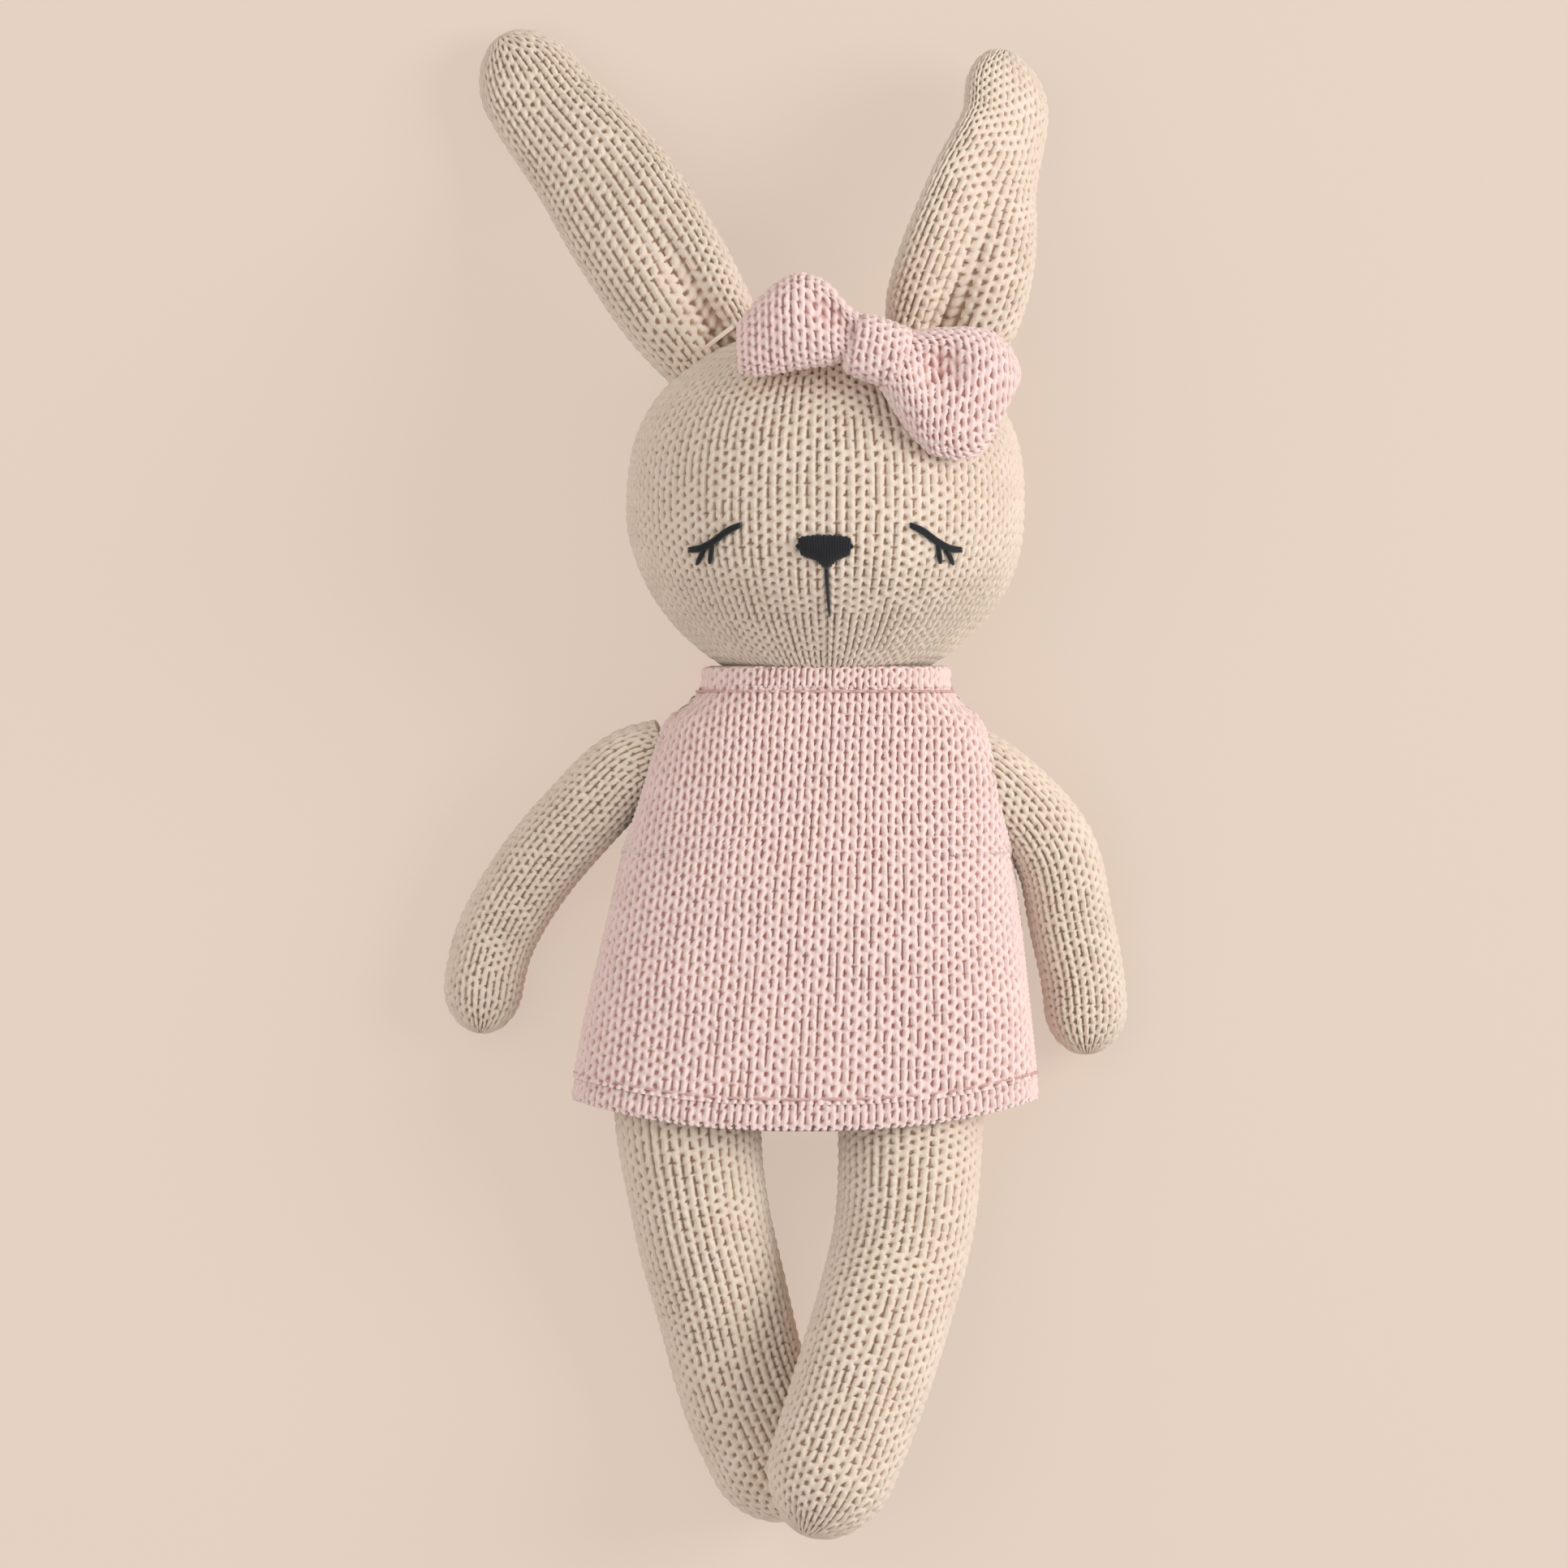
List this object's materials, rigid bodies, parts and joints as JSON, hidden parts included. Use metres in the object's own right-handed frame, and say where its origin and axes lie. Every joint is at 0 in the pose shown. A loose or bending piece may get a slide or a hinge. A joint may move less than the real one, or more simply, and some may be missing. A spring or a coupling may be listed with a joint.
{
  "type": "stuffed bunny rabbit",
  "caption": "Knitted stuffed rabbit lying on its back, in a sleeveless A-line dress with a knitted bow between its long ears and an embroidered sleeping face.",
  "frame": {"origin": "middle of the toy's footprint, on the surface that it lies on", "axes": "+X to the viewer's right, +Y towards the ears, +Z out of the face, away from the surface"},
  "size_m": [0.1907, 0.4194, 0.0875],
  "materials": {
    "beige_knit": "knitted stockinette, matt",
    "pink_knit": "knitted stockinette, matt",
    "fibre": "loose polyester fibre",
    "rose_thread": "sewing thread",
    "charcoal_thread": "stranded embroidery thread"
  },
  "bodies": {
    "torso": {"body_cover": "beige_knit", "body_stuffing": "fibre", "dress_front": "pink_knit", "dress_back": "pink_knit", "collar_band": "pink_knit", "hem_band": "pink_knit", "collar_topstitch": "rose_thread", "hem_topstitch": "rose_thread", "armhole_edge_left": "pink_knit", "armhole_edge_right": "pink_knit", "dress_seam_left": "rose_thread", "dress_seam_right": "rose_thread", "shoulder_seam_left": "rose_thread", "shoulder_seam_right": "rose_thread", "hip_seam_left": "rose_thread", "hip_seam_right": "rose_thread"},
    "neck": {"neck_seam": "rose_thread"},
    "head": {"head_cover": "beige_knit", "head_stuffing": "fibre", "bow_band": "pink_knit", "bow_knot": "pink_knit", "bow_thread": "rose_thread", "eye_left": "charcoal_thread", "eye_right": "charcoal_thread", "nose": "charcoal_thread", "mouth": "charcoal_thread", "ear_seam_left": "rose_thread", "ear_seam_right": "rose_thread"},
    "ear_left": {"ear_left_cover": "beige_knit", "ear_left_filling": "fibre"},
    "ear_right": {"ear_right_cover": "beige_knit", "ear_right_filling": "fibre"},
    "arm_left": {"arm_left_cover": "beige_knit", "arm_left_stuffing": "fibre"},
    "arm_right": {"arm_right_cover": "beige_knit", "arm_right_stuffing": "fibre"},
    "leg_left": {"leg_left_cover": "beige_knit", "leg_left_stuffing": "fibre"},
    "leg_right": {"leg_right_cover": "beige_knit", "leg_right_stuffing": "fibre"}
  },
  "joints": [
    {"name": "neck_nod", "type": "hinge", "parent": "torso", "child": "neck", "pos_m": [0.0108, 0.0348, 0.04], "axis": [1, 0, 0], "range_deg": [0, 15]},
    {"name": "neck_tilt", "type": "hinge", "parent": "neck", "child": "head", "pos_m": [0.0108, 0.0388, 0.026], "axis": [0, 0, 1], "range_deg": [-9, 9]},
    {"name": "ear_left_flop", "type": "hinge", "parent": "head", "child": "ear_left", "pos_m": [-0.02194, 0.12205, 0.0437], "axis": [0.788, 0.6157, 0], "range_deg": [0, 85]},
    {"name": "ear_right_flop", "type": "hinge", "parent": "head", "child": "ear_right", "pos_m": [0.04355, 0.12455, 0.0437], "axis": [0.9613, -0.2756, 0], "range_deg": [0, 60]},
    {"name": "arm_left_raise", "type": "hinge", "parent": "torso", "child": "arm_left", "pos_m": [-0.0391, 0.0038, 0.024], "axis": [0, 0, -1], "range_deg": [-8, 75]},
    {"name": "arm_right_raise", "type": "hinge", "parent": "torso", "child": "arm_right", "pos_m": [0.0602, 0.0003, 0.024], "axis": [0, 0, 1], "range_deg": [0, 75]},
    {"name": "leg_left_lift", "type": "hinge", "parent": "torso", "child": "leg_left", "pos_m": [-0.02855, -0.0752, 0.0225], "axis": [-1, 0, 0], "range_deg": [0, 80], "deforming": ["dress_front", "dress_back", "hem_band", "hem_topstitch", "dress_seam_left", "dress_seam_right"]},
    {"name": "leg_right_lift", "type": "hinge", "parent": "torso", "child": "leg_right", "pos_m": [0.03545, -0.0752, 0.0225], "axis": [-1, 0, 0], "range_deg": [0, 80]}
  ],
  "couplings": [
    {"joint": "leg_right_lift", "follows": "leg_left_lift", "ratio": 1}
  ]
}
